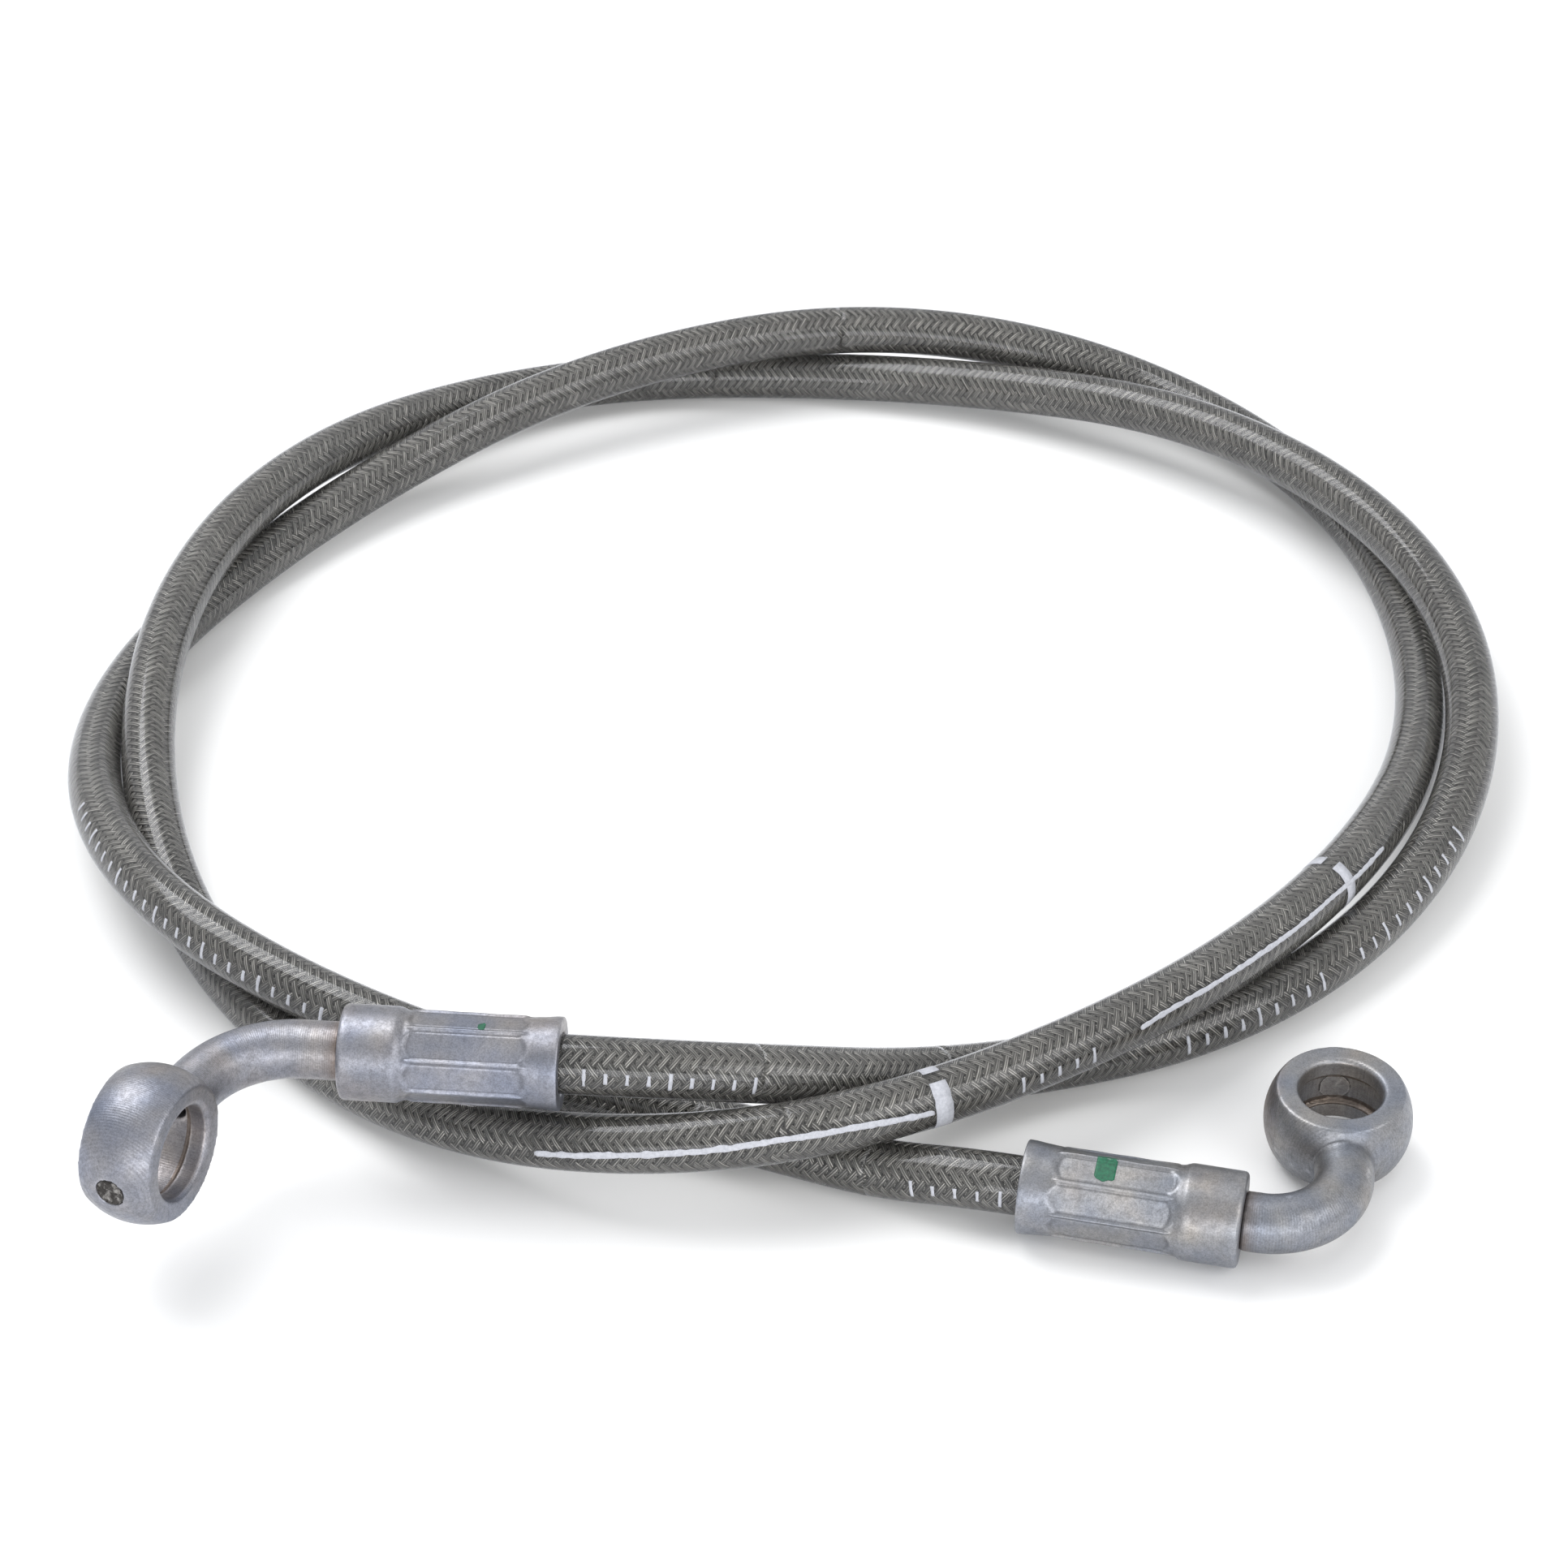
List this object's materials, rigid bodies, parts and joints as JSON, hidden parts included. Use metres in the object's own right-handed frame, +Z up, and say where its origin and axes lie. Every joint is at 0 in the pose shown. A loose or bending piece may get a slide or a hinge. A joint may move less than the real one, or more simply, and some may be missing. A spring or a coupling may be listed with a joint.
{
  "type": "hydraulic hose assembly",
  "caption": "Coiled braided hydraulic hose in a clear jacket, with a crimped ferrule and an angled banjo fitting at each end.",
  "frame": {"origin": "bottom centre of the bounding box of the coiled assembly, on the plane it rests on", "axes": "+Z up out of the coil, +X to the viewer's right, +Y away from the viewer, both ends of the hose at the -Y side"},
  "size_m": [0.1925, 0.2063, 0.0267],
  "materials": {
    "jacket": "clear, smooth and glossy, light scuffs",
    "braid": "woven fine stainless wire, two over two under",
    "liner": "smooth milky fluoropolymer tube",
    "zinc": "satin zinc plate with fine turning lines",
    "plug": "dark, rough, peened end"
  },
  "bodies": {
    "coil": {"jacket_coil": "jacket", "braid_coil": "braid", "liner_coil": "liner", "jacket_bend_a1": "jacket", "braid_bend_a1": "braid", "liner_bend_a1": "liner", "jacket_bend_b1": "jacket", "braid_bend_b1": "braid", "liner_bend_b1": "liner"},
    "mid_a": {"jacket_mid_a": "jacket", "braid_mid_a": "braid", "liner_mid_a": "liner", "jacket_bend_a2": "jacket", "braid_bend_a2": "braid", "liner_bend_a2": "liner"},
    "end_a": {"jacket_end_a": "jacket", "braid_end_a": "braid", "liner_end_a": "liner", "ferrule_a": "zinc", "banjo_a": "zinc", "plug_a": "plug"},
    "mid_b": {"jacket_mid_b": "jacket", "braid_mid_b": "braid", "liner_mid_b": "liner", "jacket_bend_b2": "jacket", "braid_bend_b2": "braid", "liner_bend_b2": "liner"},
    "end_b": {"jacket_end_b": "jacket", "braid_end_b": "braid", "liner_end_b": "liner", "ferrule_b": "zinc", "banjo_b": "zinc", "plug_b": "plug"}
  },
  "joints": [
    {"name": "swing_a", "type": "hinge", "parent": "coil", "child": "mid_a", "pos_m": [0.00518, -0.07574, 0.01149], "axis": [-0.4503, 0.2723, -0.8504], "range_deg": [0, 22], "stiffness_Nm_per_rad": 0.05, "deforming": ["jacket_bend_a1", "braid_bend_a1", "liner_bend_a1"]},
    {"name": "lift_a", "type": "hinge", "parent": "mid_a", "child": "end_a", "pos_m": [-0.01355, -0.08027, 0.01643], "axis": [-0.0933, 0.9956, 0], "range_deg": [0, 22], "stiffness_Nm_per_rad": 0.05, "deforming": ["jacket_bend_a2", "braid_bend_a2", "liner_bend_a2"]},
    {"name": "swing_b", "type": "hinge", "parent": "coil", "child": "mid_b", "pos_m": [0.00217, -0.08019, 0.00361], "axis": [0, 0, 1], "range_deg": [-22, 8], "stiffness_Nm_per_rad": 0.05, "deforming": ["jacket_bend_b1", "braid_bend_b1", "liner_bend_b1"]},
    {"name": "lift_b", "type": "hinge", "parent": "mid_b", "child": "end_b", "pos_m": [0.01795, -0.08621, 0.00516], "axis": [-0.3361, -0.9418, 0], "range_deg": [0, 22], "stiffness_Nm_per_rad": 0.05, "deforming": ["jacket_bend_b2", "braid_bend_b2", "liner_bend_b2"]}
  ]
}
